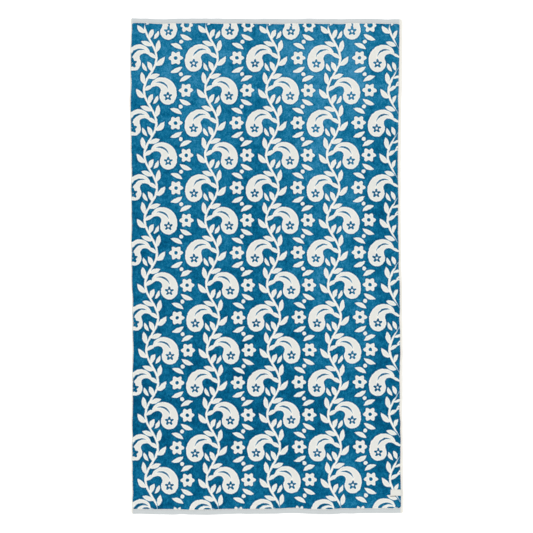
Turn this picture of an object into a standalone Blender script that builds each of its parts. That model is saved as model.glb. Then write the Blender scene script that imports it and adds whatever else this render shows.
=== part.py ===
"""Beach towel lying flat, face up: one cloth of cut-pile terry with thin flat-woven hems, and a ribbon label.

Metres, +Z up. The towel's length runs along Y, and the origin is under its middle, on the surface it lies on.
"""

import math
from collections import namedtuple

import bmesh
import bpy

TOWEL_WIDTH = 0.965  # side to side, the usual 38 inches
TOWEL_LENGTH = 1.762  # end to end
PILE_THICKNESS = 0.0040  # ground weave with its pile on both faces
HEM_THICKNESS = 0.0024  # three turns of the flat weave, pressed
PILE_SLOPE = 0.0025  # where the pile drops to a hem

LEFT_HEM = 0.005
RIGHT_HEM = 0.010
TOP_HEM = 0.0165
BOTTOM_HEM = 0.018
CORNER_RADIUS = 0.009
GRID_STEP = 0.042  # between the lines of the cloth's grid, away from its edges

# How far each edge stands outside the straight line through it, from one place along that edge to the next
SideEdge = namedtuple("SideEdge", "up left_out right_out")
SIDE_EDGES = [
    SideEdge(up=-0.870, left_out=-0.0028, right_out=0.0048),
    SideEdge(up=-0.730, left_out=-0.0018, right_out=0.0043),
    SideEdge(up=-0.477, left_out=-0.0021, right_out=0.0014),
    SideEdge(up=-0.306, left_out=-0.0038, right_out=0.0014),
    SideEdge(up=-0.135, left_out=-0.0021, right_out=0.0007),
    SideEdge(up=0.036, left_out=0.0014, right_out=-0.0032),
    SideEdge(up=0.206, left_out=0.0009, right_out=-0.0046),
    SideEdge(up=0.377, left_out=0.0017, right_out=-0.0053),
    SideEdge(up=0.550, left_out=0.0044, right_out=-0.0032),
    SideEdge(up=0.720, left_out=0.0048, right_out=0.0000),
    SideEdge(up=0.870, left_out=0.0020, right_out=0.0009),
]
EndEdge = namedtuple("EndEdge", "across top_out bottom_out")
END_EDGES = [
    EndEdge(across=-0.470, top_out=0.0020, bottom_out=0.0004),
    EndEdge(across=-0.350, top_out=-0.0002, bottom_out=0.0019),
    EndEdge(across=-0.220, top_out=0.0022, bottom_out=0.0022),
    EndEdge(across=-0.120, top_out=0.0000, bottom_out=0.0007),
    EndEdge(across=0.000, top_out=-0.0007, bottom_out=0.0000),
    EndEdge(across=0.100, top_out=-0.0006, bottom_out=-0.0021),
    EndEdge(across=0.215, top_out=-0.0005, bottom_out=0.0009),
    EndEdge(across=0.340, top_out=-0.0006, bottom_out=-0.0023),
    EndEdge(across=0.470, top_out=-0.0023, bottom_out=-0.0025),
]

# Soft swells where the cloth stands off the surface. The turn is from +X, and each side is half the whole.
Swell = namedtuple("Swell", "across up turn half_length half_width rise")
SWELLS = [
    Swell(across=0.345, up=0.230, turn=90, half_length=0.500, half_width=0.100, rise=0.0040),
    Swell(across=-0.040, up=0.660, turn=90, half_length=0.340, half_width=0.080, rise=0.0022),
    Swell(across=-0.140, up=0.327, turn=-3, half_length=0.420, half_width=0.080, rise=0.0024),
    Swell(across=0.090, up=-0.470, turn=6, half_length=0.400, half_width=0.090, rise=0.0022),
    Swell(across=-0.500, up=-0.300, turn=86, half_length=0.280, half_width=0.110, rise=0.0042),
    Swell(across=-0.500, up=0.620, turn=95, half_length=0.200, half_width=0.090, rise=0.0036),
    Swell(across=0.500, up=-0.420, turn=92, half_length=0.240, half_width=0.090, rise=0.0038),
    Swell(across=-0.230, up=-0.900, turn=80, half_length=0.150, half_width=0.095, rise=0.0040),
    Swell(across=0.190, up=-0.900, turn=98, half_length=0.120, half_width=0.085, rise=0.0030),
    Swell(across=0.180, up=0.900, turn=84, half_length=0.140, half_width=0.100, rise=0.0038),
    Swell(across=-0.280, up=0.905, turn=97, half_length=0.110, half_width=0.085, rise=0.0030),
]

LABEL_LENGTH = 0.042  # along X, from its free end to the side hem
LABEL_WIDTH = 0.022
LABEL_THICKNESS = 0.0009
LABEL_LEFT = 0.4420
LABEL_BOTTOM = -0.8165
LABEL_GAP = 0.0003  # between the label and the cloth under it
LABEL_OVERHANG = 0.0015  # how far it runs on level before it follows the pile down to the hem
LABEL_CURL = 0.0008  # rise of its free end
LABEL_CURL_LENGTH = 0.012


def clear_scene():
    for obj in list(bpy.data.objects):
        bpy.data.objects.remove(obj, do_unlink=True)


def ease(share):
    share = min(1.0, max(0.0, share))
    return share * share * (3 - 2 * share)


def table_value(rows, place, column, at):
    """The column's value at a place between the table's rows, eased from each row to the next."""
    value = getattr(rows[0], column)
    for low, high in zip(rows, rows[1:]):
        start, end = getattr(low, place), getattr(high, place)
        if at > start:
            step = getattr(high, column) - getattr(low, column)
            value = getattr(low, column) + step * ease((at - start) / (end - start))
    return value


def outline_place(across, up):
    """Moves a point of the flat rectangle sideways and endways, as the uneven edges pull it."""
    side = 0.5 + across / TOWEL_WIDTH
    end = 0.5 + up / TOWEL_LENGTH
    left = table_value(SIDE_EDGES, "up", "left_out", up)
    right = table_value(SIDE_EDGES, "up", "right_out", up)
    bottom = table_value(END_EDGES, "across", "bottom_out", across)
    top = table_value(END_EDGES, "across", "top_out", across)
    return across - left * (1 - side) + right * side, up - bottom * (1 - end) + top * end


def round_corner(across, up):
    """Draws the square corners in to an arc."""
    past_side = (abs(across) - TOWEL_WIDTH / 2) / CORNER_RADIUS + 1
    past_end = (abs(up) - TOWEL_LENGTH / 2) / CORNER_RADIUS + 1
    if past_side <= 0 or past_end <= 0:
        return across, up
    pull = 1 - max(past_side, past_end) / math.hypot(past_side, past_end)
    across -= math.copysign(pull * past_side * CORNER_RADIUS, across)
    up -= math.copysign(pull * past_end * CORNER_RADIUS, up)
    return across, up


def lift(across, up):
    """How far the cloth's underside stands off the surface, where a swell raises it."""
    height = 0.0
    for swell in SWELLS:
        turn = math.radians(swell.turn)
        east, north = across - swell.across, up - swell.up
        along = abs(east * math.cos(turn) + north * math.sin(turn)) / swell.half_length
        beside = abs(north * math.cos(turn) - east * math.sin(turn)) / swell.half_width
        height += swell.rise * ease(1 - along) * ease(1 - beside)
    return height


def thickness(across, up):
    """The cloth is thin over its hems and full in its pile."""
    inside = min(
        across + TOWEL_WIDTH / 2 - LEFT_HEM,
        TOWEL_WIDTH / 2 - across - RIGHT_HEM,
        up + TOWEL_LENGTH / 2 - BOTTOM_HEM,
        TOWEL_LENGTH / 2 - up - TOP_HEM,
    )
    share = min(1.0, max(0.0, inside / PILE_SLOPE))
    return HEM_THICKNESS + (PILE_THICKNESS - HEM_THICKNESS) * share


def cloth_lines(size, low_hem, high_hem):
    """Places of the grid's lines from edge to edge: two over each hem, one where the pile starts, then even ones."""
    low = [0.0, low_hem / 2, low_hem, low_hem + PILE_SLOPE]
    high = [size, size - high_hem / 2, size - high_hem, size - high_hem - PILE_SLOPE]
    span = high[-1] - low[-1]
    count = round(span / GRID_STEP)
    between = [low[-1] + span * i / count for i in range(1, count)]
    return [place - size / 2 for place in low + between + high[::-1]]


def move_grid(mesh_grid, columns, rows, place_of):
    """Carries each point of a new grid, which spans -1 to 1, to where its column and row belong."""
    for point in mesh_grid.verts:
        column = round((point.co.x + 1) / 2 * (len(columns) - 1))
        row = round((point.co.y + 1) / 2 * (len(rows) - 1))
        point.co = place_of(columns[column], rows[row])


def grid_sheet(name, columns, rows, place_of):
    """An open sheet with a line of points at each of the columns and rows."""
    sheet = bmesh.new()
    bmesh.ops.create_grid(sheet, x_segments=len(columns) - 1, y_segments=len(rows) - 1, size=1.0)
    move_grid(sheet, columns, rows, place_of)
    mesh = bpy.data.meshes.new(name)
    sheet.to_mesh(mesh)
    sheet.free()
    return bpy.data.objects.new(name, mesh)


def thicken(obj, full_thickness):
    """Gives the sheet its thickness above its underside."""
    solidify = obj.modifiers.new("cloth thickness", "SOLIDIFY")
    solidify.thickness = full_thickness
    solidify.offset = 1
    return solidify


def finish(obj, colour, roughness, collection):
    material = bpy.data.materials.new(obj.name)
    material.use_nodes = True
    surface = material.node_tree.nodes["Principled BSDF"]
    surface.inputs["Base Color"].default_value = (*colour, 1)
    surface.inputs["Roughness"].default_value = roughness
    surface.inputs["Metallic"].default_value = 0
    obj.data.materials.append(material)
    obj.data.shade_smooth()
    collection.objects.link(obj)


def towel_cloth(collection):
    """The whole cloth, with its hems, as one sheet that is thinner where it is hemmed."""
    flat_places = []

    def place_of(across, up):
        flat_places.append((across, up))
        drawn_in = round_corner(across, up)
        return (*outline_place(*drawn_in), lift(across, up))

    columns = cloth_lines(TOWEL_WIDTH, LEFT_HEM, RIGHT_HEM)
    rows = cloth_lines(TOWEL_LENGTH, BOTTOM_HEM, TOP_HEM)
    obj = grid_sheet("towel_cloth", columns, rows, place_of)
    fullness = obj.vertex_groups.new(name="fullness")
    for index, (across, up) in enumerate(flat_places):
        fullness.add([index], thickness(across, up) / PILE_THICKNESS, "REPLACE")
    solidify = thicken(obj, PILE_THICKNESS)
    solidify.vertex_group = fullness.name
    finish(obj, (0.010, 0.130, 0.270), 0.95, collection)


def side_label(collection):
    """A woven ribbon label: its end is sewn to the right side hem, and the rest lies loose on the pile."""

    def place_of(along, beside):
        x = LABEL_LEFT + along
        height = PILE_THICKNESS + LABEL_GAP
        height -= (PILE_THICKNESS - HEM_THICKNESS) * ease((x - slope_start) / PILE_SLOPE)
        height += LABEL_CURL * ease(1 - along / LABEL_CURL_LENGTH)
        return (x, LABEL_BOTTOM + beside, height)

    right_out = table_value(SIDE_EDGES, "up", "right_out", LABEL_BOTTOM)
    slope_start = TOWEL_WIDTH / 2 + right_out - RIGHT_HEM - PILE_SLOPE + LABEL_OVERHANG
    step = 0.002
    columns = [step * i for i in range(round(LABEL_LENGTH / step) + 1)]
    rows = [0.0, LABEL_WIDTH / 2, LABEL_WIDTH]
    obj = grid_sheet("side_label", columns, rows, place_of)
    thicken(obj, LABEL_THICKNESS)
    finish(obj, (0.780, 0.770, 0.730), 0.70, collection)


def main():
    clear_scene()
    collection = bpy.data.collections.new("beach_towel")
    bpy.context.scene.collection.children.link(collection)
    towel_cloth(collection)
    side_label(collection)


main()
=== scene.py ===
import math
import random

import bpy
import numpy as np
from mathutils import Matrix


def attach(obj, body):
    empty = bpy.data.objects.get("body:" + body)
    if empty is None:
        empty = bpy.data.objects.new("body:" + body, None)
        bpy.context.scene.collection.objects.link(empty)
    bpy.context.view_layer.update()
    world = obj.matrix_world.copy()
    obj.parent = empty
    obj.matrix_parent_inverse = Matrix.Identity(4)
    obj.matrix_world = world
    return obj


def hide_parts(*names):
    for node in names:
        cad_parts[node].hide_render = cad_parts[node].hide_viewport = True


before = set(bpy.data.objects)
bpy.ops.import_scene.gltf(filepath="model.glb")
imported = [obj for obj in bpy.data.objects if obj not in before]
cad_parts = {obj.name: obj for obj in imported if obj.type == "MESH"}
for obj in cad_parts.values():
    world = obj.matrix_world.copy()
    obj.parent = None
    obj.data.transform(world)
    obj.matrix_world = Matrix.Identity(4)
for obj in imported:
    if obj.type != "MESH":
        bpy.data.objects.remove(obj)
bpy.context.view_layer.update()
bpy.ops.object.select_all(action="DESELECT")
print("frame loaded:", ", ".join(sorted(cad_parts)))

# Metres, as in the frame. The towel's own places are flat ones: x across it and y up it, from its middle.

towel = {
    "width": 0.965,
    "length": 1.762,
    "pileThick": 0.0040,
    "hemThick": 0.0024,
    "pileRoll": 0.0026,  # how far the pile's edge takes to reach its full height
    "leftHem": 0.0052,
    "rightHem": 0.0097,
    "bottomHem": 0.0183,
    "topHem": 0.0170,
    "leftSeam": 0.0033,  # each seam's place in from its edge
    "rightSeam": 0.0074,
    "bottomSeam": 0.0142,
    "topSeam": 0.0130,
    "cornerRadius": 0.0075,
    "pileCorner": 0.008,
    "foldRound": 0.0010,  # the rounding of the folded edge
    "step": 0.0071,  # between the mesh's lines, away from the hems
    "ripple": 0.0007,  # the small waver of the edges
    "hemDrift": 0.0012,  # and of the pile's edge, so that the hems are not of one width
    "crumple": 0.00055,  # the unevenness that laundering leaves
    "pucker": 0.00028,  # the seams draw the hems in
    "seamDip": 0.00055,
    "waverFade": 0.03,  # how far in the edge's own waver reaches
    "hemWaver": 0.010,  # where the waver of the pile's edge is strongest
    "puckerWide": 0.011,
    "threadLift": 0.00012,  # the thread under each seam keeps it off the floor
    "seamWide": 0.0010,
    "firstLine": 0.0016,  # of the mesh, in from each edge
    "hemStep": 0.0034,
    "weld": 0.0003,
}
rightX, topY = towel["width"] / 2, towel["length"] / 2  # its right and its top edge

# up, how far the left and the right edge stand out there, and how much wider the right hem is
sideEdges = [
    (-0.870, -0.0028, 0.0048, 0),
    (-0.730, -0.0018, 0.0043, 0),
    (-0.620, -0.0020, 0.0026, -0.0008),
    (-0.477, -0.0022, 0.0003, -0.0003),
    (-0.306, -0.0050, 0.0016, -0.0003),
    (-0.135, -0.0030, 0.0017, 0),
    (0.036, 0.0010, -0.0025, 0),
    (0.206, 0.0006, -0.0046, 0.0002),
    (0.377, 0.0013, -0.0042, 0.0010),
    (0.550, 0.0036, -0.0023, 0.0015),
    (0.720, 0.0032, 0.0008, 0.0019),
    (0.870, 0.0008, 0.0015, 0.0016),
]
# across, how far the top and the bottom edge stand out there, and how much wider the top hem is
endEdges = [
    (-0.470, 0.0006, 0.0004, 0.0002),
    (-0.350, -0.0018, 0.0019, 0.0002),
    (-0.220, 0.0003, 0.0022, 0.0002),
    (-0.120, -0.0010, 0.0007, 0.0010),
    (0.000, -0.0012, 0, 0.0012),
    (0.100, -0.0014, -0.0021, 0.0011),
    (0.215, -0.0019, 0.0009, 0.0008),
    (0.340, -0.0010, -0.0023, 0.0004),
    (0.470, -0.0023, -0.0025, 0),
]
# across, up, turn from +X in degrees, half its length, half its width, rise
swells = [
    (0.345, 0.230, 90, 0.500, 0.100, 0.0040),
    (-0.040, 0.660, 90, 0.340, 0.080, 0.0022),
    (-0.140, 0.327, -3, 0.420, 0.080, 0.0024),
    (0.090, -0.470, 6, 0.400, 0.090, 0.0022),
    (-0.500, -0.300, 86, 0.280, 0.110, 0.0042),
    (-0.500, 0.620, 95, 0.200, 0.090, 0.0036),
    (0.500, -0.420, 92, 0.240, 0.090, 0.0038),
    (-0.230, -0.900, 80, 0.150, 0.095, 0.0040),
    (0.190, -0.900, 98, 0.120, 0.085, 0.0030),
    (0.180, 0.900, 84, 0.140, 0.100, 0.0038),
    (-0.280, 0.905, 97, 0.110, 0.085, 0.0030),
]
# soft lines left where the towel was folded: from across, up, to across, up, half width, rise
foldLines = [
    (0.366, -0.250, 0.358, 0.840, 0.016, 0.0009),
    (-0.046, 0.360, -0.040, 0.868, 0.014, 0.0006),
    (-0.440, 0.331, 0.340, 0.323, 0.013, 0.0007),
    (-0.300, -0.468, 0.452, -0.462, 0.014, 0.0005),
    (-0.410, -0.160, 0.120, -0.146, 0.018, 0.0004),
]


def ease(share):
    share = np.clip(share, 0, 1)
    return share * share * (3 - 2 * share)


def alongTable(rows, column, places):
    value = np.full(np.shape(places), float(rows[0][column]))
    for low, high in zip(rows, rows[1:]):
        value += (high[column] - low[column]) * ease((places - low[0]) / (high[0] - low[0]))
    return value


def waver(places, seed, longest, count=5):
    # an uneven wave of about -1 to 1 along a line
    draw = random.Random(seed)
    value = np.zeros(np.shape(places))
    for i in range(count):
        wave = longest * draw.uniform(0.75, 1.1) / (1 + 0.62 * i)
        value += np.sin(2 * math.pi * (places / wave + draw.random())) / (1 + 0.35 * i)
    return value / 1.9


def uneven(x, y, seed, longest, count=13):
    # an uneven surface of about -1 to 1, from waves that run every way
    draw = random.Random(seed)
    value = np.zeros(np.shape(x))
    for i in range(count):
        wave, turn = longest * draw.uniform(0.42, 1.0), draw.uniform(0, math.pi)
        value += np.sin(2 * math.pi * ((x * math.cos(turn) + y * math.sin(turn)) / wave + draw.random()))
    return value / (1.25 * math.sqrt(count))


def flatEdges(x, y):
    # how far inside the left, right, bottom and top edges a flat place lies
    return x + rightX, rightX - x, y + topY, topY - y


def pileInside(x, y):
    # how far inside the pile's own edge a place lies, round its corners, and below 0 on the hems
    left, right, bottom, top = flatEdges(x, y)
    left, right = left - towel["leftHem"], right - towel["rightHem"]
    bottom, top = bottom - towel["bottomHem"], top - towel["topHem"]
    radius = towel["pileCorner"]
    acrossPast = radius - np.minimum(left, right)
    upPast = radius - np.minimum(bottom, top)
    reach = np.hypot(np.maximum(acrossPast, 0), np.maximum(upPast, 0))
    return radius - np.where(reach > 0, reach, np.maximum(acrossPast, upPast))


def smallWaver(places, inside, seed, wider=0.0):
    # the edge's own waver fades inwards, and the pile's edge has another
    edge = towel["ripple"] * waver(places, seed, 0.19) * np.exp(-inside / towel["waverFade"])
    besideHem = inside / towel["hemWaver"] * np.exp(1 - inside / towel["hemWaver"])
    return edge + (towel["hemDrift"] * waver(places, seed + 100, 0.26) - wider) * besideHem


def layPlace(x, y):
    # where a flat place comes to lie, as the uneven edges and round corners pull it
    radius = towel["cornerRadius"]
    pastSide = np.maximum((np.abs(x) - rightX) / radius + 1, 0)
    pastEnd = np.maximum((np.abs(y) - topY) / radius + 1, 0)
    corner = (pastSide > 0) & (pastEnd > 0)
    reach = np.where(corner, np.hypot(pastSide, pastEnd), 1)
    pull = np.where(corner, 1 - np.maximum(pastSide, pastEnd) / reach, 0)
    x = x - np.copysign(pull * pastSide * radius, x)
    y = y - np.copysign(pull * pastEnd * radius, y)
    left, right, bottom, top = flatEdges(x, y)
    rightShare, topShare = left / towel["width"], bottom / towel["length"]
    leftOut = alongTable(sideEdges, 1, y) + smallWaver(y, left, 3)
    rightOut = alongTable(sideEdges, 2, y) + smallWaver(y, right, 5, alongTable(sideEdges, 3, y))
    topOut = alongTable(endEdges, 1, x) + smallWaver(x, top, 7, alongTable(endEdges, 3, x))
    bottomOut = alongTable(endEdges, 2, x) + smallWaver(x, bottom, 9)
    laidX = x - leftOut * (1 - rightShare) + rightOut * rightShare
    laidY = y - bottomOut * (1 - topShare) + topOut * topShare
    return laidX, laidY


def lift(x, y):
    # how far the underside stands off the floor
    height = np.zeros(np.shape(x))
    for across, up, turn, halfLong, halfWide, rise in swells:
        east, north, turn = x - across, y - up, math.radians(turn)
        along = np.abs(east * math.cos(turn) + north * math.sin(turn)) / halfLong
        beside = np.abs(north * math.cos(turn) - east * math.sin(turn)) / halfWide
        height += rise * ease(1 - along) * ease(1 - beside)
    for startX, startY, endX, endY, halfWide, rise in foldLines:
        runX, runY = endX - startX, endY - startY
        share = ((x - startX) * runX + (y - startY) * runY) / (runX * runX + runY * runY)
        near = np.clip(share, 0, 1)
        away = np.hypot(x - startX - near * runX, y - startY - near * runY)
        height += rise * ease(1 - away / halfWide) * ease(4 * share) * ease(4 - 4 * share)
    height += towel["crumple"] * (uneven(x, y, 11, 0.30) + 0.45 * uneven(x, y, 12, 0.085))
    return np.maximum(height, 0) + seamPucker(x, y)


def fromSeams(x, y):
    # how far a flat place is from the left, right, bottom and top seam, and its place along each
    left, right, bottom, top = flatEdges(x, y)
    return (
        (left - towel["leftSeam"], y),
        (right - towel["rightSeam"], y),
        (bottom - towel["bottomSeam"], x),
        (top - towel["topSeam"], x),
    )


def seamPucker(x, y):
    value = np.zeros(np.shape(x))
    for seed, (away, along) in enumerate(fromSeams(x, y), 21):
        fade = np.exp(-np.abs(away) / towel["puckerWide"])
        value += towel["pucker"] * fade * np.clip(0.5 + 0.5 * waver(along, seed, 0.055, 7), 0, 1)
        value += towel["threadLift"] * fade
    return value


def thickness(x, y):
    left, right, bottom, top = flatEdges(x, y)
    thick = np.full(np.shape(x), towel["hemThick"])
    # the end hems are turned over the side hems, so the corners are thicker
    overlap = ease((0.012 - np.minimum(left, right)) / 0.003)
    overlap = overlap * ease((0.019 - np.minimum(bottom, top)) / 0.002)
    thick += 0.0006 * overlap
    for away, _ in fromSeams(x, y):
        thick -= towel["seamDip"] * np.exp(-((away / towel["seamWide"]) ** 2))
    full = towel["pileThick"] + 0.00012 * uneven(x, y, 31, 0.034)
    rise = np.clip(pileInside(x, y) / towel["pileRoll"], 0, 1)
    return thick + (full - thick) * np.sqrt(1 - (1 - rise) ** 2)


def topHeight(x, y):
    return lift(x, y) + thickness(x, y)


def gridLines(size, lowSide, highSide):
    # places of the mesh's lines from edge to edge, close together over the hems
    def overHem(side):
        hem, seam = towel[side + "Hem"], towel[side + "Seam"]
        first, roll = towel["firstLine"], towel["pileRoll"]
        count = max(1, round((seam - first) / towel["hemStep"]))
        lines = [0.0] + [first + (seam - first) * i / count for i in range(count + 1)]
        lines += [(seam + hem) / 2, hem] + [hem + roll * share for share in (0.18, 0.5, 1.0)]
        return lines + [hem + roll + 0.0035]

    low = overHem(lowSide)
    high = [size - place for place in overHem(highSide)]
    count = round((high[-1] - low[-1]) / towel["step"])
    between = [low[-1] + (high[-1] - low[-1]) * i / count for i in range(1, count)]
    return np.array(low + between + high[::-1]) - size / 2


def only(obj):
    bpy.ops.object.select_all(action="DESELECT")
    obj.select_set(True)
    bpy.context.view_layer.objects.active = obj


def applyNew(obj, kind, **settings):
    only(obj)
    modifier = obj.modifiers.new(kind.lower(), kind)
    for name, value in settings.items():
        setattr(modifier, name, value)
    bpy.ops.object.modifier_apply(modifier=modifier.name)


def addPiece(name, operator, **settings):
    bpy.ops.object.select_all(action="DESELECT")
    operator(**settings)
    obj = bpy.context.object
    obj.name = obj.data.name = name
    return obj


def addBead(name, segments, rings, size=(1, 1, 1)):
    # a sphere with its poles along X
    obj = addPiece(
        name, bpy.ops.mesh.primitive_uv_sphere_add,
        segments=segments, ring_count=rings, radius=0.5, rotation=(0, math.pi / 2, 0),
    )
    obj.scale = size
    bpy.ops.object.transform_apply(location=False, rotation=True, scale=True)
    return obj


def repeated(obj, count, pitch):
    applyNew(
        obj, "ARRAY", count=count, use_relative_offset=False, use_constant_offset=True,
        constant_offset_displace=(pitch, 0, 0),
    )
    return places(obj)


def finished(obj, *materials):
    for material in materials:
        obj.data.materials.append(material)
    only(obj)
    bpy.ops.object.shade_smooth()
    print(obj.name + ":", len(obj.data.polygons), "faces")
    return obj


def read(items, name, each=1, kind=float):
    values = np.empty(len(items) * each, dtype=kind)
    items.foreach_get(name, values)
    return values


def places(obj):
    return read(obj.data.vertices, "co", 3).reshape(-1, 3)


def setPlaces(obj, points):
    obj.data.vertices.foreach_set("co", np.ascontiguousarray(points, dtype=np.float32).ravel())
    obj.data.update()


def flatMap(obj, points, width, length):
    # the piece's own map: its flat place, from 0 to 1 across it and up it
    layer = obj.data.uv_layers[0]
    layer.name = "clothMap"
    corner = read(obj.data.loops, "vertex_index", kind=np.int32)
    uv = np.stack([points[:, 0] / width + 0.5, points[:, 1] / length + 0.5], axis=1)[corner]
    layer.uv.foreach_set("vector", np.ascontiguousarray(uv, dtype=np.float32).ravel())


def flatGrid(name, columns, rows):
    across, up = len(columns) - 1, len(rows) - 1
    obj = addPiece(name, bpy.ops.mesh.primitive_grid_add, x_subdivisions=across, y_subdivisions=up, size=2)
    points = places(obj)
    column = np.rint((points[:, 0] + 1) / 2 * across).astype(int)
    row = np.rint((points[:, 1] + 1) / 2 * up).astype(int)
    points = np.stack([np.asarray(columns)[column], np.asarray(rows)[row], np.zeros(len(points))], axis=1)
    setPlaces(obj, points)
    return obj, points


def faceMiddles(obj):
    # each face's flat place from its map, in metres from the middle, and how far up it faces
    faces = obj.data.polygons
    starts = read(faces, "loop_start", kind=np.int32)
    totals = read(faces, "loop_total", kind=np.int32)
    uv = read(obj.data.uv_layers[0].uv, "vector", 2).reshape(-1, 2)
    middle = np.add.reduceat(uv, starts, axis=0) / totals[:, None]
    x, y = ((middle - 0.5) * (towel["width"], towel["length"])).T
    return x, y, read(faces, "normal", 3)[2::3]


def makeTowel():
    columns = gridLines(towel["width"], "left", "right")
    rows = gridLines(towel["length"], "bottom", "top")
    obj, flat = flatGrid("beach_towel", columns, rows)
    flatMap(obj, flat, towel["width"], towel["length"])
    applyNew(obj, "SOLIDIFY", thickness=0.002, offset=1)
    points = places(obj)
    x, y, isTop = points[:, 0].copy(), points[:, 1].copy(), points[:, 2] > 0.001
    points[:, 0], points[:, 1] = layPlace(x, y)
    points[:, 2] = lift(x, y) + np.where(isTop, thickness(x, y), 0)
    setPlaces(obj, points)
    applyNew(
        obj, "BEVEL", width=towel["foldRound"], segments=3, limit_method="ANGLE", angle_limit=math.radians(55)
    )
    applyNew(obj, "WELD", merge_threshold=towel["weld"])  # the slivers that the bevel leaves at the corners
    x, y, up = faceMiddles(obj)
    left, right = flatEdges(x, y)[:2]
    onSideHem = (left < towel["leftHem"]) | (right < towel["rightHem"])
    # the four materials below, by their places in the list
    kind = np.where(pileInside(x, y) > 0, np.where(up > 0, 0, 1), np.where(onSideHem, 3, 2))
    obj.data.polygons.foreach_set("material_index", kind.astype(np.int32))
    face = jacquard("cutPileFace", loop=0.0, mottle=1.0, reverse=False)
    back = jacquard("loopPileBack", loop=1.0, mottle=0.6, reverse=True)
    return finished(obj, face, back, hemWeave("endHemWeave", False), hemWeave("sideHemWeave", True))


# The pile's edge: small tufts that lean out over the hems, in two rows

edgeTuft = {
    "long": 0.0024,
    "wide": 0.0023,
    "pitch": 0.0016,
    # how far inside the edge each row is, and the least and the most it points up, in degrees
    "rows": ((0.0017, 4, 24), (0.0009, -16, 10)),
    "sunk": 0.00075,
    "colourFrom": 0.0020,  # it has the figure's colour from so far inside
}


def pileEdgePath(inset):
    # flat places evenly along the pile's edge, and the way out from it at each
    radius = towel["pileCorner"]
    left, right = -rightX + towel["leftHem"] + radius, rightX - towel["rightHem"] - radius
    bottom, top = -topY + towel["bottomHem"] + radius, topY - towel["topHem"] - radius
    corners = [(right, bottom, -90), (right, top, 0), (left, top, 90), (left, bottom, 180)]
    path, reach = [], radius - inset
    for (x, y, start), (nextX, nextY, _) in zip(corners, corners[1:] + corners[:1]):
        steps = max(2, round(reach * math.pi / 2 / edgeTuft["pitch"]))
        path += [(x, y, math.radians(start + 90 * i / steps)) for i in range(steps)]
        steps = round(math.hypot(nextX - x, nextY - y) / edgeTuft["pitch"])
        turn = math.radians(start + 90)
        path += [(x + (nextX - x) * i / steps, y + (nextY - y) * i / steps, turn) for i in range(steps)]
    x, y, turn = np.array(path).T
    return x + reach * np.cos(turn), y + reach * np.sin(turn), turn


def makeEdgeTufts(material):
    rows = edgeTuft["rows"]
    spots = [pileEdgePath(inset) for inset, _, _ in rows]
    rootX, rootY, turn = (np.concatenate(column) for column in zip(*spots))
    count = len(rootX)
    draw = np.random.default_rng(71)
    inRow = [len(spot[0]) for spot in spots]
    least, most = (np.repeat([row[end] for row in rows], inRow) for end in (1, 2))
    pointsUp = np.radians(least + (most - least) * draw.random(count))
    turn = turn + np.radians(draw.uniform(-28, 28, count))
    size = draw.uniform(0.78, 1.15, count)
    inward = draw.uniform(-0.0004, 0.0004, count)
    rootX, rootY = rootX - np.cos(turn) * inward, rootY - np.sin(turn) * inward

    obj = addBead("pile_edge_tufts", 5, 3)
    spacing = 4.0  # between the copies, until each is carried to its root
    points = repeated(obj, count, spacing)
    which = np.rint(points[:, 0] / spacing).astype(int)
    points[:, 0] -= spacing * which
    along, beside, over = (points * size[which, None]).T
    outX, outY, rise = np.cos(turn)[which], np.sin(turn)[which], pointsUp[which]
    beside, over = beside * edgeTuft["wide"], over * edgeTuft["wide"] * 0.85
    along = (along + 0.22) * edgeTuft["long"]
    forth = along * np.cos(rise) - over * np.sin(rise)
    height = along * np.sin(rise) + over * np.cos(rise) + (topHeight(rootX, rootY) - edgeTuft["sunk"])[which]
    x = rootX[which] + outX * forth - outY * beside
    y = rootY[which] + outY * forth + outX * beside
    mapX = rootX[which] - outX * edgeTuft["colourFrom"] + along * 0.4
    mapY = rootY[which] - outY * edgeTuft["colourFrom"] + beside * 0.4
    flatMap(obj, np.stack([mapX, mapY, height], axis=1), towel["width"], towel["length"])
    setPlaces(obj, np.stack([*layPlace(x, y), height], axis=1))
    return finished(obj, material)


# Materials. A wire is a node's socket that can be added or multiplied, so that a shape reads as a formula.


class Wire:
    def __init__(self, tree, socket):
        self.tree, self.socket = tree, socket

    def math(self, operation, *others):
        return mathNode(self.tree, operation, self, *others)

    def __add__(self, other):
        return self.math("ADD", other)

    def __sub__(self, other):
        return self.math("SUBTRACT", other)

    def __mul__(self, other):
        return self.math("MULTIPLY", other)

    def __truediv__(self, other):
        return self.math("DIVIDE", other)

    def __rsub__(self, other):
        return mathNode(self.tree, "SUBTRACT", other, self)

    def __rtruediv__(self, other):
        return mathNode(self.tree, "DIVIDE", other, self)

    def __abs__(self):
        return self.math("ABSOLUTE")

    __radd__, __rmul__ = __add__, __mul__

    def least(self, other):
        return self.math("MINIMUM", other)

    def most(self, other):
        return self.math("MAXIMUM", other)

    def ramp(self, low, high):
        # 0 below low, 1 above high, eased between
        node = addNode(self.tree, "ShaderNodeMapRange", interpolation_type="SMOOTHSTEP")
        self.tree.links.new(self.socket, node.inputs["Value"])
        setInputs(node, {"From Min": low, "From Max": high})
        return Wire(self.tree, node.outputs["Result"])


def addNode(tree, kind, **settings):
    node = tree.nodes.new(kind)
    place = len(tree.nodes)
    node.location = (170 * (place // 7), -170 * (place % 7))
    for name, value in settings.items():
        setattr(node, name, value)
    return node


def plug(tree, socket, value):
    if isinstance(value, Wire):
        tree.links.new(value.socket, socket)
    else:
        socket.default_value = value


def plugAll(tree, node, *values):
    for socket, value in zip(node.inputs, values):
        plug(tree, socket, value)
    return Wire(tree, node.outputs[0])


def setInputs(node, values):
    for name, value in values.items():
        node.inputs[name].default_value = value


def mathNode(tree, operation, *values):
    return plugAll(tree, addNode(tree, "ShaderNodeMath", operation=operation), *values)


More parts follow.
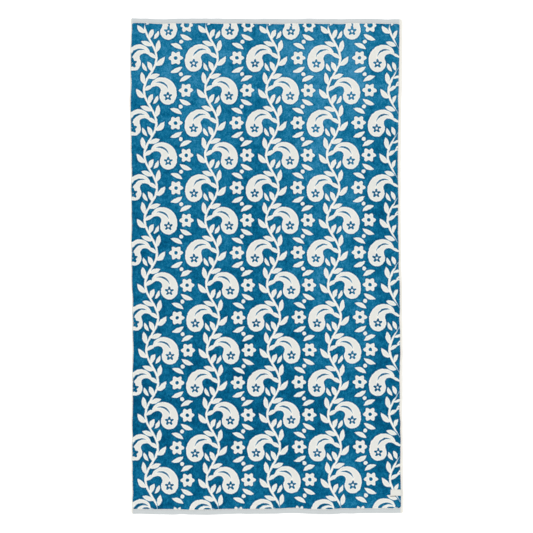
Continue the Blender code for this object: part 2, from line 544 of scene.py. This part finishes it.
def mixColour(tree, share, first, second):
    node = addNode(tree, "ShaderNodeMix", data_type="RGBA")
    plug(tree, node.inputs[0], share)
    for socket, colour in ((node.inputs[6], first), (node.inputs[7], second)):
        plug(tree, socket, colour if isinstance(colour, Wire) else (*colour, 1))
    return Wire(tree, node.outputs[2])


def hypot(x, y):
    return (x * x + y * y).math("SQRT")


def apart(tree, place):
    # a vector's x and y
    node = addNode(tree, "ShaderNodeSeparateXYZ")
    plug(tree, node.inputs[0], place)
    return Wire(tree, node.outputs[0]), Wire(tree, node.outputs[1])


def join(tree, x, y):
    return plugAll(tree, addNode(tree, "ShaderNodeCombineXYZ"), x, y)


def squeezed(tree, place, scale):
    node = addNode(tree, "ShaderNodeMapping")
    setInputs(node, {"Scale": scale})
    return plugAll(tree, node, place)


def noiseAt(tree, place, scale, detail=2.0, rough=0.5, squeeze=None):
    node = addNode(tree, "ShaderNodeTexNoise")
    plug(tree, node.inputs["Vector"], squeezed(tree, place, squeeze) if squeeze else place)
    setInputs(node, {"Scale": scale, "Detail": detail, "Roughness": rough})
    return Wire(tree, node.outputs[0])


def stops(tree, value, marks, easing="EASE"):
    # goes from mark to mark: each is a place from 0 to 1, and a level or a colour
    node = addNode(tree, "ShaderNodeValToRGB")
    band = node.color_ramp
    band.interpolation = easing
    while len(band.elements) < len(marks):
        band.elements.new(0.5)
    for element, (place, level) in zip(band.elements, marks):
        element.position = place
        element.color = (*level, 1) if isinstance(level, tuple) else (level, level, level, 1)
    plug(tree, node.inputs[0], value)
    return Wire(tree, node.outputs[0])


def addSocket(tree, label, way):
    kind = "Vector" if label in ("Map", "Place") else "Float"
    tree.interface.new_socket(name=label, in_out=way, socket_type="NodeSocket" + kind)


def newGroup(name, *inputs):
    tree = bpy.data.node_groups.new(name, "ShaderNodeTree")
    for label in inputs:
        addSocket(tree, label, "INPUT")
    source = addNode(tree, "NodeGroupInput")
    return tree, [Wire(tree, source.outputs[label]) for label in inputs]


def endGroup(tree, results):
    for label in results:
        addSocket(tree, label, "OUTPUT")
    end = addNode(tree, "NodeGroupOutput")
    end.location = (4000, 0)
    for label, wire in results.items():
        plug(tree, end.inputs[label], wire)
    return tree


def useGroup(tree, group, **values):
    # the group's inputs are given by their names in camelCase
    node = addNode(tree, "ShaderNodeGroup", node_tree=groups[group])
    for socket in node.inputs:
        key = socket.name[0].lower() + socket.name[1:].replace(" ", "")
        if key in values:
            plug(tree, socket, values[key])
    return {socket.name: Wire(tree, socket) for socket in node.outputs}


# The jacquard figure, in millimetres: a leafy vine between paisleys and flowers, mirrored row by row.

figure = {
    "repeatAcross": 217,
    "repeatUp": 231,
    "joinAcross": -9,  # moves the join of two repeats into the gap between figures
    "startAcross": 24,  # where the repeat starts on the cloth
    "startUp": -9,
    "tuftAcross": 1.6,  # figures step from tuft to tuft
    "tuftUp": 1.9,
    "slim": -0.34,  # taken off every figure's edge
    "edgeSlim": 3.5,  # and more near the pile's edges, where less of the cream shows
    "edgeReach": 26,
    "berry": 7,  # radius of the dot where four repeats meet
}
vine = {
    "sway": 22, "leaves": 5, "leafLong": 40, "leafWide": 16, "slant": 44, "off": 15.5, "stem": 3.75,
}
paisley = {
    "x": -29, "y": -3, "start": 207, "sweep": 190, "radius": 38, "drawIn": 9, "head": 29.5,
    "vein": 3.2,  # the blue stroke up its body
    "veinMiddle": 0.46,
    "veinReach": 0.25,
}
bloom = {"x": 90, "y": 0, "size": 25.5, "petals": 6, "turn": 0, "depth": 0.15, "heart": 6.5}
eyeBloom = {"size": 16.5, "petals": 5, "turn": 90, "depth": 0.24, "heart": 4.2}
# x, y, turn, length, width, bend
looseLeaves = [
    (92, 41, -25, 46, 16, 3),
    (92, -41, 205, 46, 16, 3),
    (-19, -33, -62, 34, 12.5, -3),
]


def leafShape(x, y, atX, atY, turn, length, width, bend=0.0):
    east, north = x - atX, y - atY
    cos, sin = math.cos(math.radians(turn)), math.sin(math.radians(turn))
    along = (east * cos + north * sin) * (2 / length)
    taper = 1 - along * along
    beside = north * cos - east * sin - taper * bend
    return taper * (width / 2) - abs(beside)


def bloomShape(x, y, atX, atY, flower):
    # a ring of petals round an open heart
    east, north = x - atX, y - atY
    away = hypot(east, north)
    angle = north.math("ARCTAN2", east)
    wave = ((angle - math.radians(flower["turn"])) * flower["petals"]).math("COSINE")
    size, depth = flower["size"], flower["depth"]
    petals = wave * (size * depth) + size * (1 - depth) - away
    return petals.least(away - flower["heart"])


def paisleyShape(x, y):
    # a round head whose body narrows along an arc to its point
    p = paisley
    start, sweep = math.radians(p["start"]), math.radians(p["sweep"])
    east, north = x - p["x"], y - p["y"]
    away = hypot(east, north)
    angle = north.math("ARCTAN2", east)
    share = (start - angle).math("WRAP", 2 * math.pi, 0.0) / sweep
    spine = p["radius"] - share * p["drawIn"]
    fromSpine = abs(away - spine)
    body = (1 - share.math("POWER", 1.6)) * p["head"] - fromSpine
    headX = p["x"] + p["radius"] * math.cos(start)
    headY = p["y"] + p["radius"] * math.sin(start)
    head = p["head"] - hypot(x - headX, y - headY)
    eye = bloomShape(x, y, headX, headY, eyeBloom)
    past = (share - p["veinMiddle"]) / p["veinReach"]
    vein = (1 - past * past) * p["vein"] - fromSpine
    return body.most(head).least(eye.most(vein) * -1)


def vineShape(x, y):
    v = vine
    turnUp = 2 * math.pi / figure["repeatUp"]
    x = x.math("WRAP", figure["repeatAcross"] / 2, -figure["repeatAcross"] / 2)
    phase = y * turnUp
    slope = phase.math("COSINE") * (v["sway"] * turnUp)
    flat = 1 / (slope * slope + 1).math("SQRT")
    beside = (x - phase.math("SINE") * v["sway"]) * flat
    along = y + beside * slope * flat
    pitch = figure["repeatUp"] / v["leaves"]
    half = beside.math("GREATER_THAN", 0.0) * 0.5  # leaves stand on alternate sides
    place = ((along / pitch + half).math("FRACT") - 0.5) * pitch
    leaf = leafShape(place, abs(beside), 0.0, v["off"], v["slant"], v["leafLong"], v["leafWide"])
    return leaf.most(v["stem"] - abs(beside))


def figureGroup():
    # Edge is how far inside a figure's edge a place lies, and below 0 in the ground
    tree, (x, y) = newGroup("towelFigure", "Across", "Up")
    halfUp, wide = figure["repeatUp"] / 2, figure["repeatAcross"]
    x, y = x - figure["startAcross"], y - figure["startUp"]
    row = (y / halfUp).math("FLOOR")
    side = 1 - (row * 0.5).math("FRACT") * 4  # 1 on even rows and -1 on odd ones
    rowY = y - (row + 0.5) * halfUp
    rowX = (x * side).math("WRAP", wide / 2 - figure["joinAcross"], -wide / 2 - figure["joinAcross"])
    edge = vineShape(x, y).most(paisleyShape(rowX, rowY))
    edge = edge.most(bloomShape(rowX, rowY, bloom["x"], bloom["y"], bloom))
    for leaf in looseLeaves:
        edge = edge.most(leafShape(rowX, rowY, *leaf))
    berryX, berryY = x.math("WRAP", wide, 0.0) - wide / 2, y.math("WRAP", halfUp / 2, -halfUp / 2)
    edge = edge.most(figure["berry"] - hypot(berryX, berryY))
    return endGroup(tree, {"Edge": edge - figure["slim"]})


def flatPlaceGroup():
    # flat places in millimetres, and how far inside the towel's and the pile's edges they are
    tree, (mapped,) = newGroup("flatPlace", "Map")
    mm = {name: value * 1000 for name, value in towel.items()}
    halfWide, halfLong, radius = mm["width"] / 2, mm["length"] / 2, mm["pileCorner"]
    u, v = apart(tree, mapped)
    x, y = (u - 0.5) * mm["width"], (v - 0.5) * mm["length"]
    fromSides = (x + (halfWide - mm["leftHem"])).least((halfWide - mm["rightHem"]) - x)
    fromEnds = (y + (halfLong - mm["bottomHem"])).least((halfLong - mm["topHem"]) - y)
    acrossPast, upPast = radius - fromSides, radius - fromEnds
    inside = hypot(acrossPast.most(0.0), upPast.most(0.0)) + acrossPast.most(upPast).least(0.0)
    leftSeam, rightSeam = abs(x + (halfWide - mm["leftSeam"])), abs(x - (halfWide - mm["rightSeam"]))
    bottomSeam, topSeam = abs(y + (halfLong - mm["bottomSeam"])), abs(y - (halfLong - mm["topSeam"]))
    results = {
        "Across": x,
        "Up": y,
        "Place": join(tree, x, y),
        "Side In": (x + halfWide).least(halfWide - x),
        "Pile In": radius - inside,
        "Side Seam": leftSeam.least(rightSeam),
        "End Seam": bottomSeam.least(topSeam),
    }
    return endGroup(tree, results)


# The pile's painted sheen from the bottom to the top, and its painted light and shade bands across it, in its
# upper and its lower part

paintedSheenTones = {
    "up": [
        (0.0, 0.34), (0.1, 0.27), (0.22, 0.24), (0.38, 0.34), (0.6, 0.375), (0.74, 0.45), (0.9, 0.60),
        (1.0, 0.52),
    ],
    "upper": [
        (0.0, 0.42), (0.12, 0.47), (0.28, 0.52), (0.46, 0.43), (0.55, 0.53), (0.73, 0.63), (0.84, 0.61),
        (0.9, 0.42), (0.96, 0.41), (1.0, 0.48),
    ],
    "lower": [
        (0.0, 0.45), (0.2, 0.49), (0.45, 0.47), (0.62, 0.51), (0.8, 0.60), (0.87, 0.57), (0.93, 0.46),
        (1.0, 0.5),
    ],
}


def paintedSheenAndMottleGroup():
    # the pile's tone: a painted sheen, lighter towards the top where the pile leans to the light, painted
    # light and shade bands along the folds, and mottled at random
    tree, (x, y, place, mottle) = newGroup("pileNap", "Across", "Up", "Place", "Mottle")
    up = y / (towel["length"] * 1000) + 0.5
    across = x / (towel["width"] * 1000) + 0.5
    down = stops(tree, up, paintedSheenTones["up"])
    upper, lower = (stops(tree, across, paintedSheenTones[part]) for part in ("upper", "lower"))
    high = up.ramp(0.35, 0.6)
    bands = upper * high + lower * (1 - high)
    drift = noiseAt(tree, place, 0.0075, 3.0, 0.55)
    patch = noiseAt(tree, place, 0.03)
    fleck = noiseAt(tree, place, 0.105, 3.0, 0.65, squeeze=(1.0, 0.75, 1.0))
    wander = (drift - 0.5) * 0.62 + (patch - 0.5) * 0.6 + (fleck - 0.5) * 1.05
    return endGroup(tree, {"Tone": down + (bands - 0.5) + wander * mottle})


def tuftRowsGroup():
    # rows of tufts, each half a tuft along from the row below and a little out of line
    tree, (x, y, place) = newGroup("tuftRows", "Across", "Up", "Place")
    stray = noiseAt(tree, place, 0.08)
    fray = noiseAt(tree, place, 1.3, 2.0, 0.7)
    x = x + (stray - 0.5) * 5.0 + (fray - 0.5) * 1.2
    y = y - (stray - 0.5) * 4.0 + (fray - 0.5) * 1.2
    wide, long = figure["tuftAcross"], figure["tuftUp"]
    row = (y / long).math("FLOOR")
    half = (row * 0.5).math("FRACT")
    column = (x / wide + half).math("FLOOR")
    tuftX = (column + 0.5 - half) * wide
    tuftY = (row + 0.5) * long
    out = hypot((x - tuftX) * (2 / wide), (y - tuftY) * (2 / long))
    chance = addNode(tree, "ShaderNodeTexWhiteNoise", noise_dimensions="2D")
    plug(tree, chance.inputs["Vector"], join(tree, column, row))
    luck = Wire(tree, chance.outputs["Value"])
    return endGroup(tree, {"Tuft X": tuftX, "Tuft Y": tuftY, "Out": out, "Luck": luck})


def pileReliefGroup():
    # tufts or loops, their fibres, and the small groove that parts figure from ground; the Shade paints shade
    # in the gaps between tufts, with the fibres' and clumps' own tone
    tree, (place, out, luck, edge, loop) = newGroup("pileRelief", "Place", "Out", "Luck", "Edge", "Loop")
    cutTuft = 1 - out.ramp(0.25, 1.25)
    loopTuft = 1 - (abs(out - 0.55) * 2.2).least(1.0)
    tuft = cutTuft * (1 - loop) + loopTuft * loop
    fibre = noiseAt(tree, place, 1.6, 3.0, 0.75)
    clump = noiseAt(tree, place, 0.22, 2.0, 0.6, squeeze=(1.0, 0.75, 1.0))
    groove = 1 - abs(edge).ramp(0.0, 1.5)
    height = tuft * 0.6 + luck * 0.3 + (fibre - 0.5) * 1.0 + (clump - 0.5) * 0.9 - groove * 0.4
    shadeAndTone = (tuft - 0.5) * 0.5 + (fibre - 0.5) * 1.2 + (clump - 0.5) * 0.25
    return endGroup(tree, {"Height": height, "Shade": shadeAndTone, "Mingle": fibre.ramp(0.40, 0.60)})


def weaveGroup():
    # a plain weave: threads both ways, a little uneven
    tree, wires = newGroup("plainWeave", "Place", "Across Pitch", "Up Pitch", "Slub")
    place, acrossPitch, upPitch, slub = wires
    x, y = apart(tree, place)
    warp = (x / acrossPitch * math.pi).math("SINE")
    weft = (y / upPitch * math.pi).math("SINE")
    cross = warp * weft
    rough = (noiseAt(tree, place, 0.35, 3.0, 0.6, squeeze=(0.25, 1.6, 1.0)) - 0.5) * slub
    return endGroup(tree, {"Height": cross * 0.5 + abs(weft) * 0.35 + rough, "Shade": cross * 0.35 + rough})


groups = {
    "place": flatPlaceGroup(),
    "figure": figureGroup(),
    "nap": paintedSheenAndMottleGroup(),
    "tufts": tuftRowsGroup(),
    "relief": pileReliefGroup(),
    "weave": weaveGroup(),
}
print("node groups made:", len(groups))

finishes = {
    "blueDeep": (0.0, 0.072, 0.172),
    "blueMid": (0.0005, 0.137, 0.286),
    "blueWorn": (0.0090, 0.213, 0.392),
    "bluePale": (0.085, 0.352, 0.582),
    "cream": (0.830, 0.833, 0.794),
    "creamRim": (0.940, 0.922, 0.862),
    "mingled": (0.100, 0.360, 0.560),
    "hemGrey": (0.583, 0.615, 0.622),
    "hemPale": (0.800, 0.785, 0.720),
    "sideCream": (0.835, 0.820, 0.755),
    "sidePale": (0.850, 0.838, 0.785),
    "thread": (0.800, 0.785, 0.725),
    "ribbon": (0.735, 0.732, 0.680),
    "pileSheen": 0.05,
    "pileSheenRough": 0.45,
    "clothSpecular": 0.02,
}


def newMaterial(name, roughness, specular, sheen=0.0, sheenRough=0.5):
    material = bpy.data.materials.new(name)
    material.use_nodes = True
    tree = material.node_tree
    surface = tree.nodes["Principled BSDF"]
    setInputs(surface, {"Roughness": roughness, "Specular IOR Level": specular})
    setInputs(surface, {"Sheen Weight": sheen, "Sheen Roughness": sheenRough})
    surface.location = (4200, 0)
    tree.nodes["Material Output"].location = (4500, 0)
    return material, tree, surface


def dress(tree, surface, colour, roughness, height, strength, distance):
    plug(tree, surface.inputs["Base Color"], colour)
    plug(tree, surface.inputs["Roughness"], roughness)
    bump = addNode(tree, "ShaderNodeBump")
    setInputs(bump, {"Strength": strength, "Distance": distance})
    plug(tree, bump.inputs["Height"], height)
    tree.links.new(bump.outputs[0], surface.inputs["Normal"])


def brighten(tree, colour, amount):
    # a colour taken up or down by a share that varies over the surface
    node = addNode(tree, "ShaderNodeVectorMath", operation="SCALE")
    plug(tree, node.inputs["Scale"], amount + 1)
    return plugAll(tree, node, colour)


def clothMapPlaces(tree):
    mapped = addNode(tree, "ShaderNodeUVMap", uv_map="clothMap")
    return useGroup(tree, "place", map=Wire(tree, mapped.outputs[0]))


def labelShade(places):
    # a painted shadow on the pile along the label's lower edge, most by its free corner
    laid = np.array([label["left"], label["bottom"]])
    flatLeft, flatBottom = (2 * laid - np.array(layPlace(*laid))) * 1000
    beyond = float(flatBottom) - places["Up"]
    along = places["Across"] - float(flatLeft)
    beside = beyond.ramp(-1.0, 0.5) * (1 - beyond.ramp(2.6, 4.2))
    return beside * along.ramp(-3.0, -0.5) * (1 - along.ramp(13.0, 26.0))


def jacquard(name, loop, mottle, reverse):
    f = finishes
    material, tree, surface = newMaterial(name, 0.95, f["clothSpecular"], f["pileSheen"], f["pileSheenRough"])
    setInputs(surface, {"Diffuse Roughness": 0.6})
    places = clothMapPlaces(tree)
    flat = {"across": places["Across"], "up": places["Up"], "place": places["Place"]}
    tufts = useGroup(tree, "tufts", **flat)
    edge = useGroup(tree, "figure", across=tufts["Tuft X"], up=tufts["Tuft Y"])["Edge"]
    edge = edge - (1 - places["Pile In"].ramp(2.0, figure["edgeReach"])) * figure["edgeSlim"]
    if reverse:
        edge = edge * -1
    # the pile's tone carries the painted sheen and the painted fold bands, with its random mottle
    nap = useGroup(tree, "nap", mottle=mottle, **flat)["Tone"]
    relief = useGroup(
        tree, "relief", place=places["Place"], out=tufts["Out"], luck=tufts["Luck"], edge=edge, loop=loop
    )
    # painted shade: the ground is painted darker close to a figure
    shadow = 1 - (edge * -1).ramp(1.2, 5.0)  # the ground is darker close to a figure
    luck = tufts["Luck"] - 0.5
    # the tone sums the painted sheen and fold bands, the tufts' painted shade, each tuft's random luck and
    # the painted shade beside figures
    shadedTone = nap + relief["Shade"] * 0.5 + luck * 0.32 - shadow * 0.34
    blues = [(0.0, f["blueDeep"]), (0.28, f["blueMid"]), (0.56, f["blueWorn"]), (1.0, f["bluePale"])]
    blue = stops(tree, shadedTone, blues, "LINEAR")
    # a painted highlight just inside the cream's edge; the cream also takes the painted sheen and the tufts'
    # painted shade
    cream = mixColour(tree, 1 - edge.ramp(2.4, 5.0), f["cream"], f["creamRim"])
    cream = brighten(tree, cream, (nap - 0.5) * 0.035 + relief["Shade"] * 0.13 + luck * 0.025)
    colour = mixColour(tree, edge.math("GREATER_THAN", 0.0), blue, cream)
    # the two yarns mingle where they meet
    mixed = (1 - abs(edge).ramp(0.5, 1.4)) * (relief["Mingle"] * 0.5 + 0.45)
    colour = mixColour(tree, mixed, colour, f["mingled"])
    # the label's painted shadow on the pile
    colour = brighten(tree, colour, labelShade(places) * -0.6)
    # the ground cloth's cream shows at the pile's edge
    border = 1 - (places["Pile In"] + relief["Shade"] * 1.5).ramp(0.1, 0.7)
    colour = mixColour(tree, border, colour, f["hemPale"])
    dress(tree, surface, colour, relief["Shade"] * 0.12 + 0.92, relief["Height"], 0.9, 0.0007)
    return material


def needleHoles(along, seam, line):
    # small holes where the thread goes down, one between each two stitches, which the callers dent and paint
    # with shade
    start, end = line[0] * 1000, line[1] * 1000
    pitch = (end - start) / int((end - start) / (stitch["pitch"] * 1000))
    fromHole = abs(((along - start) / pitch + 0.5).math("FRACT") - 0.5) * pitch
    return 1 - hypot(fromHole, seam).ramp(0.15, 0.6)


def hemWeave(name, onSides):
    # the flat weave of the hems, gathered a little, with painted shade along the seam that holds it, in its
    # needle holes and by the folded edge, and painted light and shade on the gathers
    f = finishes
    material, tree, surface = newMaterial(name, 0.85, f["clothSpecular"], 0.03)
    places = clothMapPlaces(tree)
    place = places["Place"]
    if onSides:
        along, seam, line, squeeze = places["Up"], places["Side Seam"], "left_seam", (0.25, 1.0, 1.0)
        cloud = noiseAt(tree, place, 0.02, 3.0, 0.6, squeeze=(4.0, 1.0, 1.0)) - 0.5
        colour = mixColour(tree, 1 - places["Side In"].ramp(1.6, 4.6), f["sideCream"], f["sidePale"])
        shadeAndTone, ribs = cloud * 0.05, 0.0
    else:
        along, seam, line, squeeze = places["Across"], places["End Seam"], "top_seam", (1.0, 0.25, 1.0)
        cloud = noiseAt(tree, place, 0.02, 3.0, 0.6, squeeze=(1.0, 4.0, 1.0)) - 0.5
        colour = mixColour(tree, places["Pile In"].ramp(-2.4, -1.2), f["hemGrey"], f["hemPale"])
        band = (places["Up"] * (2 * math.pi / 5.2)).math("COSINE")
        shadeAndTone, ribs = band * 0.018 + cloud * 0.09, band * 0.3
    holes = needleHoles(along, seam, seamLines()[line])
    weave = useGroup(tree, "weave", place=place, acrossPitch=0.85, upPitch=0.75, slub=0.7)
    gather = (noiseAt(tree, place, 0.22, squeeze=squeeze) - 0.5) * (1 - seam.ramp(0.3, 4.5))
    # painted shade in the seam's groove
    seamGrooveShade = 1 - seam.ramp(0.2, 1.1)
    # painted shade where the folded edge turns down
    fold = 1 - places["Side In"].ramp(0.0, 1.5)
    # lit paints shade in the seam's groove and needle holes and by the folded edge, and light and shade on
    # the weave's crossings and the gathers; the end hems also have light and dark rib bands, and all have
    # cloudy tone
    lit = weave["Shade"] * 0.13 + gather * 0.12 - seamGrooveShade * 0.16 - fold * 0.02 + shadeAndTone - holes * 0.16
    height = weave["Height"] * 0.5 + gather * 2.5 + ribs - holes * 1.5
    dress(tree, surface, brighten(tree, colour, lit), weave["Shade"] * 0.1 + 0.86, height, 0.8, 0.0003)
    return material


def objectPlace(tree):
    # a piece's own place in millimetres
    source = addNode(tree, "ShaderNodeTexCoord")
    return squeezed(tree, Wire(tree, source.outputs["Object"]), (1000.0, 1000.0, 1000.0))


def sewingThread():
    material, tree, surface = newMaterial("sewingThread", 0.6, 0.2, 0.1)
    place = objectPlace(tree)
    x, y = apart(tree, place)
    ply = ((x + y) * (2 * math.pi / 0.55)).math("SINE")
    worn = noiseAt(tree, place, 0.05, 2.0, 0.6)
    colour = mixColour(tree, worn, finishes["thread"], finishes["hemPale"])
    # the ply's twist is painted as light and shade along the thread, with paler worn patches of random tone
    dress(tree, surface, brighten(tree, colour, ply * 0.06 + (worn - 0.5) * 0.1), 0.6, ply, 0.5, 0.0001)
    return material


def labelRibbon():
    material, tree, surface = newMaterial("labelRibbon", 0.45, 0.25, 0.15)
    place = objectPlace(tree)
    weave = useGroup(tree, "weave", place=place, acrossPitch=0.35, upPitch=0.42, slub=0.35)
    x, y = apart(tree, place)
    halfWide = label["width"] * 500
    fromMiddle = abs(y - (label["bottom"] + label["width"] / 2) * 1000)
    selvedge = fromMiddle.ramp(halfWide - 1.9, halfWide - 1.2)
    seamX = layPlace(np.array(rightX - towel["rightSeam"]), np.array(label["bottom"]))[0]
    fromSeam = abs(x - float(seamX) * 1000)
    holes = needleHoles(y, fromSeam, seamLines()["right_seam"])
    seamGrooveShade = 1 - fromSeam.ramp(0.2, 1.0)
    # a painted highlight along the label's folded free end
    foldEdgeHighlight = 1 - (x - label["left"] * 1000).ramp(0.5, 3.5)
    # lit paints the folded end's highlight and shade in the seam's groove and needle holes, with the weave's
    # light and shade and a darker selvedge
    lit = weave["Shade"] * 0.05 - selvedge * 0.04 - seamGrooveShade * 0.14 - holes * 0.2 + foldEdgeHighlight * 0.12
    colour, roughness = brighten(tree, finishes["ribbon"], lit), selvedge * 0.2 + 0.45 + weave["Shade"] * 0.1
    dress(tree, surface, colour, roughness, weave["Height"] + selvedge * 0.8, 0.35, 0.0002)
    return material


# Seams. One stitch is modelled and repeated in a straight row, and the row is then carried onto its seam.

stitch = {
    "long": 0.0030,
    "pitch": 0.0035,
    "thick": 0.00060,
    "sunk": 0.00012,
    "stray": 0.00016,
    "endIn": 0.0048,  # how far from the towel's ends the side seams start
    "hemGap": 0.0005,  # between the side hems and the end seams
}


def seamLines():
    # where each seam starts and ends along the cloth, its place across, and whether it runs up the towel
    low, high = -topY + stitch["endIn"], topY - stitch["endIn"]
    left = -rightX + towel["leftHem"] + stitch["hemGap"]
    right = rightX - towel["rightHem"] - stitch["hemGap"]
    return {
        "left_seam": (low, high, -rightX + towel["leftSeam"], True),
        "right_seam": (low, high, rightX - towel["rightSeam"], True),
        "bottom_seam": (left, right, -topY + towel["bottomSeam"], False),
        "top_seam": (left, right, topY - towel["topSeam"], False),
    }


def stitchRow(name, length):
    obj = addBead(name, 6, 6, (stitch["thick"], stitch["thick"], stitch["long"]))
    points = places(obj)
    # its ends dip into the cloth
    points[:, 2] -= stitch["thick"] * 0.7 * (2 * points[:, 0] / stitch["long"]) ** 4
    setPlaces(obj, points)
    count = int(length / stitch["pitch"])
    points = repeated(obj, count, length / count)
    points[:, 0] += length / count / 2
    return obj, points


def makeSeam(name, start, end, fixed, upright, under, seed):
    # start and end are flat places along the seam, and fixed is its place across
    obj, points = stitchRow(name, end - start)
    along = start + points[:, 0]
    beside = points[:, 1] + stitch["stray"] * waver(along, seed, 0.012, 4)
    x, y = (fixed - beside, along) if upright else (along, fixed + beside)
    seamX, seamY = (np.full(len(x), fixed), y) if upright else (x, np.full(len(x), fixed))
    if under:
        height = lift(seamX, seamY) + stitch["thick"] * 0.35 - points[:, 2]
    else:
        height = topHeight(seamX, seamY) - stitch["sunk"] + points[:, 2]
    laidX, laidY = layPlace(x, y)
    if upright and fixed > 0 and not under:
        # where it holds the label, the seam lies on the ribbon
        onLabel = np.minimum(laidY - label["bottom"], label["bottom"] + label["width"] - laidY)
        onLabel = ease(onLabel / 0.0010 + 0.5)
        ribbonTop = labelBase(laidX, laidY) + 2 * label["thick"] + label["slack"]
        height += (ribbonTop - stitch["sunk"] + points[:, 2] - height) * onLabel
    setPlaces(obj, np.stack([laidX, laidY, height], axis=1))
    if under:
        only(obj)
        bpy.ops.object.mode_set(mode="EDIT")
        bpy.ops.mesh.select_all(action="SELECT")
        bpy.ops.mesh.flip_normals()
        bpy.ops.object.mode_set(mode="OBJECT")
    return finished(obj, thread)


def makeSeams():
    made = []
    for seed, (name, line) in enumerate(seamLines().items()):
        made.append(makeSeam(name, *line, under=False, seed=50 + seed))
        made.append(makeSeam(name + "_under", *line, under=True, seed=60 + seed))
    return made


# The ribbon label: a strip folded on itself at its free end, both ends held by the right seam

label = {
    "left": 0.4420,
    "bottom": -0.8165,
    "length": 0.042,
    "width": 0.022,
    "thick": 0.00030,
    "slack": 0.00022,  # between its two layers
    "gap": 0.0003,
    "curl": 0.0008,
    "curlLength": 0.012,
    "cornerCurl": 0.0016,  # its lower free corner stands up most
    "overhang": 0.0015,
    "pressed": 0.00035,  # into the hem, by its seam
}


def labelBase(x, y):
    # the height of the label's underside, over the pile and down to the hem
    surface = topHeight(np.full(np.shape(x), label["left"]), y)
    right = rightX + alongTable(sideEdges, 2, np.array(label["bottom"]))
    drop = ease((x - (right - towel["rightHem"] - towel["pileRoll"] + label["overhang"])) / 0.004)
    rise = label["curl"] * ease(1 - (x - label["left"]) / label["curlLength"])
    fromCorner = np.hypot((x - label["left"]) / 0.018, (y - label["bottom"]) / 0.015)
    rise += label["cornerCurl"] * ease(1 - fromCorner)
    seamX = layPlace(np.full(np.shape(y), rightX - towel["rightSeam"]), y)[0]
    rise -= label["pressed"] * np.exp(-(((x - seamX) / 0.0013) ** 2))
    return surface + label["gap"] - (towel["pileThick"] - towel["hemThick"]) * drop + rise


def makeLabel():
    fold = (2 * label["thick"] + label["slack"]) / 2  # radius of the fold at its free end
    run = label["length"] - fold
    steps = 26
    profile = [(label["length"] - run * i / steps, -1.0) for i in range(steps)]
    profile += [(fold - fold * math.sin(math.pi * i / 8), -math.cos(math.pi * i / 8)) for i in range(9)]
    profile += [(fold + run * i / steps, 1.0) for i in range(1, steps + 1)]
    rows = np.linspace(0, label["width"], 11)
    obj, flat = flatGrid("ribbon_label", np.arange(len(profile)) * 1.0, rows)
    middle = np.array([(len(profile) - 1) / 2, label["width"] / 2, 0])
    flatMap(obj, flat - middle, len(profile) - 1.0, label["width"])
    spots = np.array(profile)[np.rint(flat[:, 0]).astype(int)]
    x = label["left"] + spots[:, 0]
    y = label["bottom"] + flat[:, 1]
    half = fold - label["thick"] / 2
    bow = 0.00025 * uneven(x, y, 41, 0.03) * ease((label["left"] + 0.028 - x) / 0.02)
    z = labelBase(x, y) + fold + spots[:, 1] * half + bow
    setPlaces(obj, np.stack([x, y, z], axis=1))
    applyNew(obj, "SOLIDIFY", thickness=label["thick"], offset=0)
    applyNew(obj, "BEVEL", width=0.00007, segments=2, limit_method="ANGLE", angle_limit=math.radians(60))
    return finished(obj, labelRibbon())


thread = sewingThread()
beachTowel = makeTowel()
edgeTufts = makeEdgeTufts(beachTowel.data.materials[0])
ribbonLabel = makeLabel()
seams = makeSeams()

for piece in (beachTowel, edgeTufts, ribbonLabel, *seams):
    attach(piece, "root")
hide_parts("towel_cloth")
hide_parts("side_label")

# The studio: a pale floor, soft light from all round and a little more from the top end

studio = {
    "floor": (0.96, 0.96, 0.96),
    "floorGlow": 0.14,
    "around": 0.88,
    "seen": 1.02,  # its brightness where the camera sees it
    "key": 0.76,
    "keySoft": 50.0,  # degrees
    "keyTilt": (24.0, -20.0),  # degrees, towards the top end and the left
    "cameraHeight": 4.6,
    "frameWide": 1.896,  # what the picture takes in, in metres
    "frameShift": (0.0006, -0.0013),
}


def makeStudio():
    floor = addPiece("floor", bpy.ops.mesh.primitive_plane_add, size=80, location=(0, 0, -0.0003))
    material, tree, surface = newMaterial("paleFloor", 0.9, 0.1)
    grain = noiseAt(tree, objectPlace(tree), 0.01, 3.0, 0.5)
    colour = brighten(tree, studio["floor"], (grain - 0.5) * 0.01)
    plug(tree, surface.inputs["Base Color"], colour)
    setInputs(surface, {"Emission Color": (1, 1, 1, 1), "Emission Strength": studio["floorGlow"]})
    floor.data.materials.append(material)

    world = bpy.data.worlds.new("studio")
    world.use_nodes = True
    sky, around = world.node_tree, studio["around"]
    setInputs(sky.nodes["Background"], {"Color": (1, 1, 1, 1)})
    seen = Wire(sky, addNode(sky, "ShaderNodeLightPath").outputs["Is Camera Ray"])
    plug(sky, sky.nodes["Background"].inputs["Strength"], seen * (studio["seen"] - around) + around)
    bpy.context.scene.world = world

    key = addPiece("key", bpy.ops.object.light_add, type="SUN", location=(-1, 1.5, 3))
    key.data.energy = studio["key"]
    key.data.angle = math.radians(studio["keySoft"])
    tiltUp, tiltSide = (math.radians(angle) for angle in studio["keyTilt"])
    key.rotation_euler = (-tiltUp, tiltSide, 0)

    height, wide = studio["cameraHeight"], studio["frameWide"]
    bpy.ops.object.camera_add(location=(*studio["frameShift"], height), rotation=(0, 0, 0))
    camera = bpy.context.object
    camera.data.sensor_width = 36
    camera.data.lens = 36 * (height - towel["pileThick"]) / wide
    bpy.context.scene.camera = camera
    bpy.context.scene.view_settings.view_transform = "Standard"
    print("studio made")


makeStudio()
